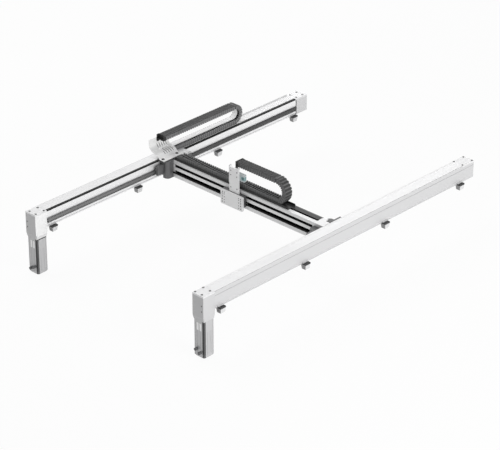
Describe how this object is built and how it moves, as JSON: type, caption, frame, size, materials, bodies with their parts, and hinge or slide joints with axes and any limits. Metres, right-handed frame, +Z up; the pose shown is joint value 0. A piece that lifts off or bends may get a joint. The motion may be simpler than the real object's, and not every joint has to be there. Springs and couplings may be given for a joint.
{
  "type": "gantry robot",
  "caption": "Flat two-axis gantry: parallel belt-driven beams carry a sliding cross-beam with a tool carriage, cable chains and two upright motors.",
  "frame": {"origin": "centre of the rectangle of the four corner feet's outer bolt holes, on the plane that the feet stand on", "axes": "+X along the two parallel beams away from the motors, +Y along the cross-beam towards the beam with the cable chain, +Z up"},
  "size_m": [2.2602, 1.462, 0.5528],
  "materials": {
    "profile": "clear anodised, drawn along its length",
    "housing": "clear anodised, milled",
    "lid": "clear anodised plate with bevelled edges",
    "strip": "black plastic strip",
    "rail": "ground rail steel",
    "runner": "ground steel block",
    "motor": "clear anodised, with fine grooves",
    "connector": "dark plastic plug",
    "shaft": "turned steel",
    "bearing": "polished bearing steel",
    "belt": "black polyurethane",
    "clamp": "black oxide",
    "foot": "light grey cast block",
    "slide": "dark grey anodised",
    "slide_lid": "dark grey plate",
    "chain": "matte black plastic",
    "tray": "light sheet",
    "tray_dark": "black sheet",
    "sheet": "near-white sheet",
    "plate": "clear anodised plate",
    "plug": "pale grey-green plastic"
  },
  "bodies": {
    "base": {"beam_profile_a": "profile", "beam_profile_b": "profile", "sensor_strips": "strip", "guide_rails": "rail", "drive_housing_a": "housing", "drive_housing_b": "housing", "housing_lids": "lid", "idler_housing_a": "housing", "idler_housing_b": "housing", "motor_adapters": "motor", "motor_a": "motor", "motor_b": "motor", "motor_connectors": "connector", "drive_bearings": "bearing", "idler_axles": "shaft", "belt_outer_strands": "belt", "belt_drive_strands": "belt", "belt_idler_strands": "belt", "foot_clamps": "clamp", "foot_blocks": "foot", "chain_x_tray": "tray", "chain_x_lower_run": "chain"},
    "crossbeam": {"chain_x_upper_run": "chain", "chain_x_bracket": "clamp", "slide_body_a": "slide", "slide_body_b": "slide", "slide_lids": "slide_lid", "runner_blocks": "runner", "roller_axles": "shaft", "cross_beam": "profile", "cross_rail": "rail", "cover_strip": "lid", "belt_cross_rear": "belt", "belt_cross_front_a": "belt", "belt_cross_front_b": "belt", "cable_chute": "sheet", "chain_y_tray": "tray_dark", "chain_y_lower_run": "chain"},
    "carriage": {"tool_plate": "plate", "carriage_body": "slide", "cross_runners": "runner", "belt_clamps": "clamp", "post_plate": "plate", "cable_duct": "housing", "chain_y_bracket": "clamp", "signal_connector": "plug", "chain_y_upper_run": "chain"},
    "body_chain_x_bend": {"chain_x_bend": "chain"},
    "body_chain_y_bend": {"chain_y_bend": "chain"},
    "body_drive_shaft_a": {"drive_shaft_a": "shaft"},
    "body_drive_shaft_b": {"drive_shaft_b": "shaft"},
    "body_idler_pulley_a": {"idler_pulley_a": "shaft"},
    "body_idler_pulley_b": {"idler_pulley_b": "shaft"},
    "body_roller_front_a": {"roller_front_a": "shaft"},
    "body_roller_front_b": {"roller_front_b": "shaft"},
    "body_roller_rear_a": {"roller_rear_a": "shaft"},
    "body_roller_rear_b": {"roller_rear_b": "shaft"}
  },
  "joints": [
    {"name": "x_slide", "type": "slide", "parent": "base", "child": "crossbeam", "axis": [1, 0, 0], "range_m": [-0.81, 0.91], "deforming": ["belt_drive_strands", "belt_idler_strands"]},
    {"name": "y_slide", "type": "slide", "parent": "crossbeam", "child": "carriage", "axis": [0, 1, 0], "range_m": [-0.44, 0.41], "deforming": ["belt_cross_front_a", "belt_cross_front_b"]},
    {"name": "chain_x_roll", "type": "slide", "parent": "base", "child": "body_chain_x_bend", "axis": [1, 0, 0], "range_m": [-0.41, 0.46], "deforming": ["chain_x_lower_run", "chain_x_upper_run"]},
    {"name": "chain_y_roll", "type": "slide", "parent": "crossbeam", "child": "body_chain_y_bend", "axis": [0, 1, 0], "range_m": [-0.225, 0.215], "deforming": ["chain_y_lower_run", "chain_y_upper_run"]},
    {"name": "drive_a_spin", "type": "hinge", "parent": "base", "child": "body_drive_shaft_a", "pos_m": [-1.08075, 0.6665, 0.063], "axis": [0, 0, 1], "continuous": true},
    {"name": "idler_a_spin", "type": "hinge", "parent": "base", "child": "body_idler_pulley_a", "pos_m": [1.074, 0.6665, 0.063], "axis": [0, 0, 1], "continuous": true},
    {"name": "roller_front_a_spin", "type": "hinge", "parent": "crossbeam", "child": "body_roller_front_a", "pos_m": [-0.104, 0.618, 0.063], "axis": [0, 0, 1], "continuous": true},
    {"name": "roller_rear_a_spin", "type": "hinge", "parent": "crossbeam", "child": "body_roller_rear_a", "pos_m": [-0.015, 0.618, 0.063], "axis": [0, 0, 1], "continuous": true},
    {"name": "drive_b_spin", "type": "hinge", "parent": "base", "child": "body_drive_shaft_b", "pos_m": [-1.08075, -0.6665, 0.063], "axis": [0, 0, 1], "continuous": true},
    {"name": "idler_b_spin", "type": "hinge", "parent": "base", "child": "body_idler_pulley_b", "pos_m": [1.074, -0.6665, 0.063], "axis": [0, 0, 1], "continuous": true},
    {"name": "roller_front_b_spin", "type": "hinge", "parent": "crossbeam", "child": "body_roller_front_b", "pos_m": [-0.104, -0.618, 0.063], "axis": [0, 0, 1], "continuous": true},
    {"name": "roller_rear_b_spin", "type": "hinge", "parent": "crossbeam", "child": "body_roller_rear_b", "pos_m": [-0.015, -0.618, 0.063], "axis": [0, 0, 1], "continuous": true}
  ],
  "couplings": [
    {"joint": "chain_x_roll", "follows": "x_slide", "ratio": 0.5},
    {"joint": "chain_y_roll", "follows": "y_slide", "ratio": 0.5},
    {"joint": "drive_a_spin", "follows": "x_slide", "rad_per_m": 30.769},
    {"joint": "idler_a_spin", "follows": "x_slide", "rad_per_m": 30.769},
    {"joint": "roller_front_a_spin", "follows": "y_slide", "rad_per_m": 62.5},
    {"joint": "roller_rear_a_spin", "follows": "y_slide", "rad_per_m": 62.5},
    {"joint": "drive_b_spin", "follows": "x_slide", "rad_per_m": -30.769},
    {"joint": "idler_b_spin", "follows": "x_slide", "rad_per_m": -30.769},
    {"joint": "roller_front_b_spin", "follows": "y_slide", "rad_per_m": 62.5},
    {"joint": "roller_rear_b_spin", "follows": "y_slide", "rad_per_m": 62.5}
  ]
}
